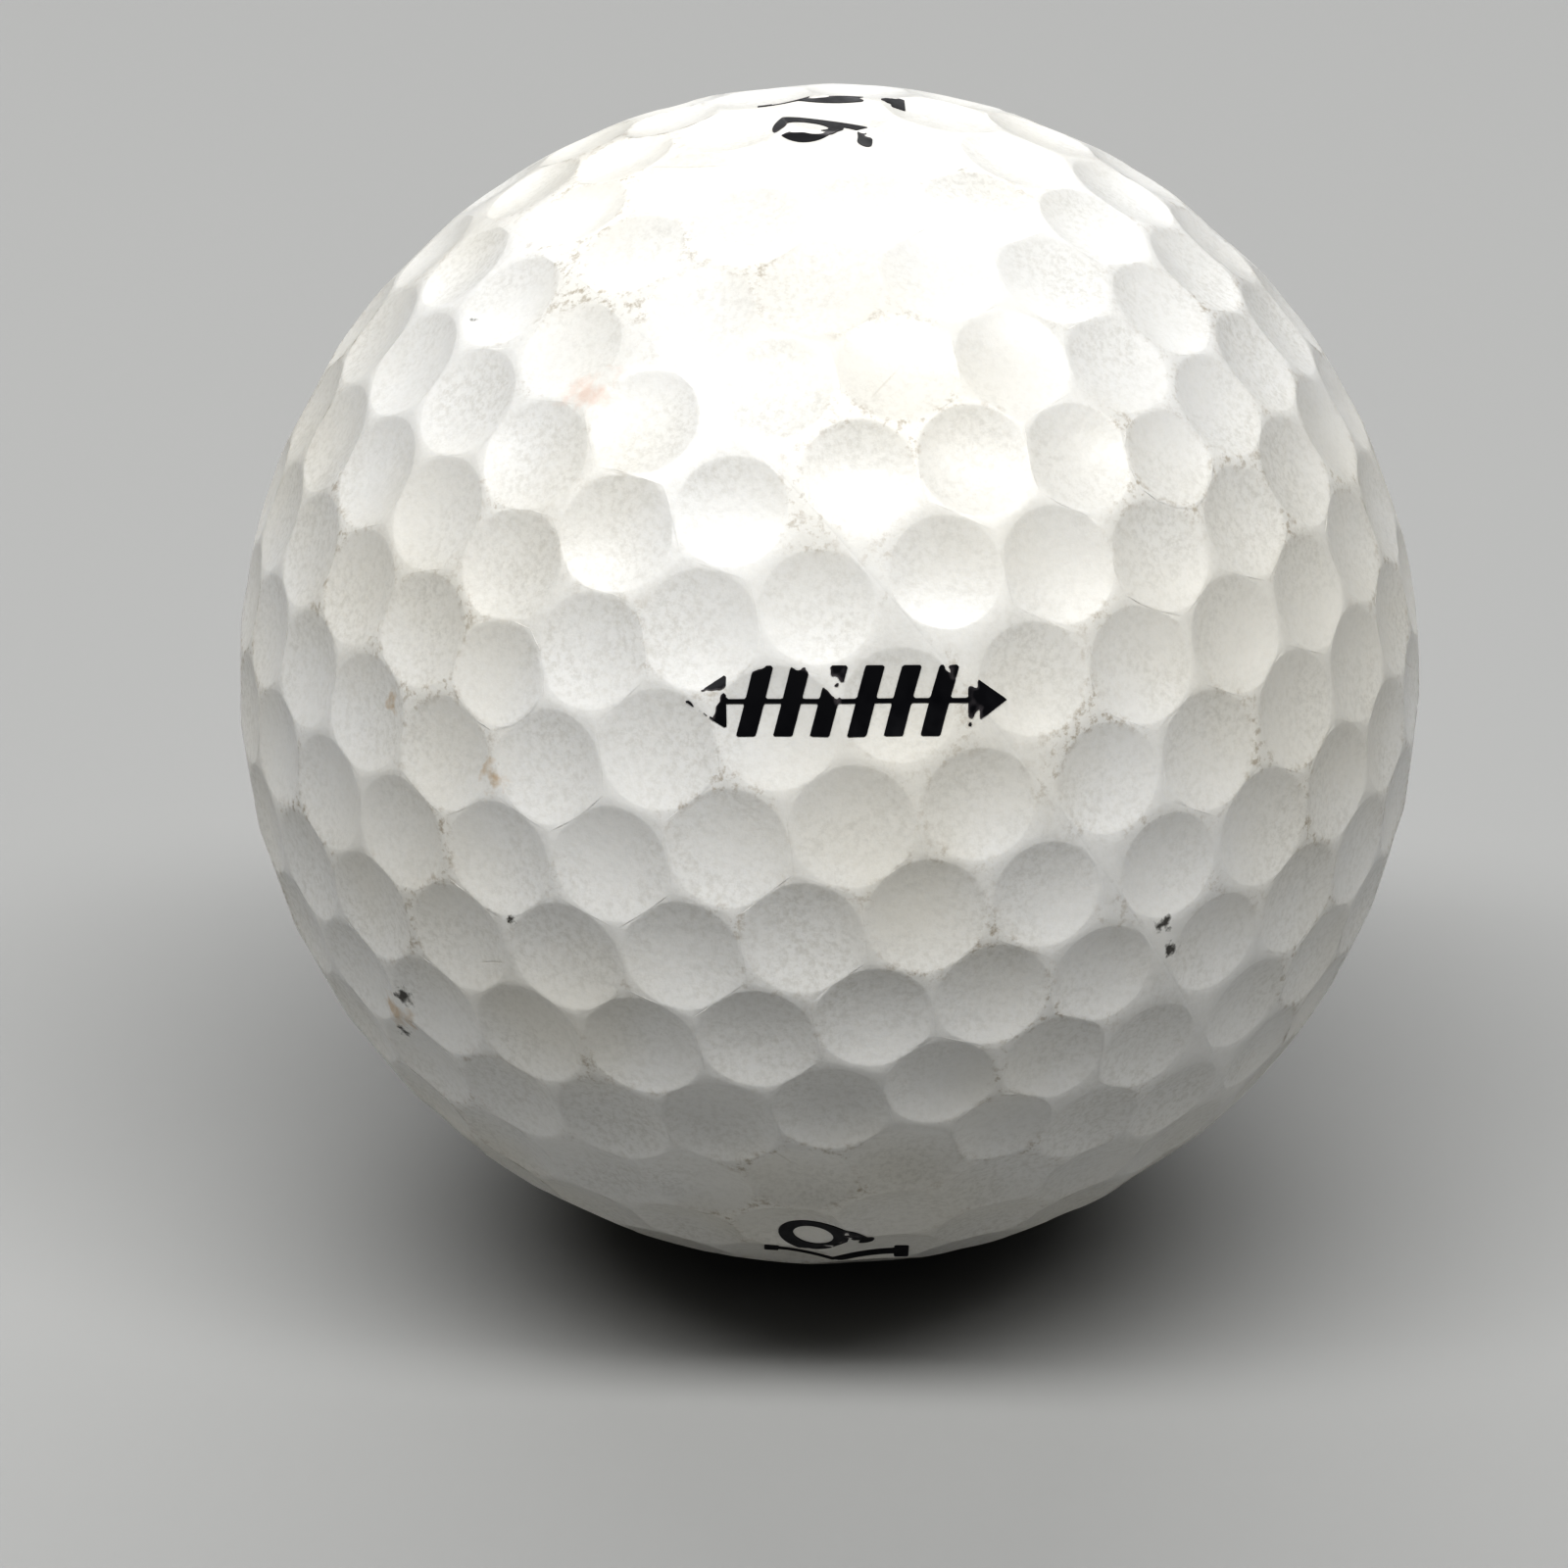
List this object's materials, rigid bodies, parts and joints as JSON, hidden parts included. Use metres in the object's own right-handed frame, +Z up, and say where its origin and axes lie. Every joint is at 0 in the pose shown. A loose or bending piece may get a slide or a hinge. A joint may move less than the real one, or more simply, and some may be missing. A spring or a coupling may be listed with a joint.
{
  "type": "golf ball",
  "caption": "Dimpled golf ball: a solid rubber core inside a moulded cover of half shells, with printed alignment marks and play numbers.",
  "frame": {"origin": "centre of the ball", "axes": "+Z up as the ball lies on its rest, -Y towards the front side mark, which is turned 18 degrees upwards, +X to the right of that mark"},
  "size_m": [0.0426, 0.0426, 0.0427],
  "materials": {
    "cover": "white painted ionomer, clear coated, worn and lightly soiled",
    "core": "moulded and ground solid rubber",
    "ink": "black pad-printed ink, worn on the lands"
  },
  "bodies": {
    "root": {"core": "core", "cover_half_upper": "cover", "cover_half_lower": "cover", "side_mark_front": "ink", "side_mark_back": "ink", "play_number_top": "ink", "play_number_bottom": "ink", "pole_bar_top": "ink", "pole_bar_bottom": "ink"}
  },
  "joints": []
}
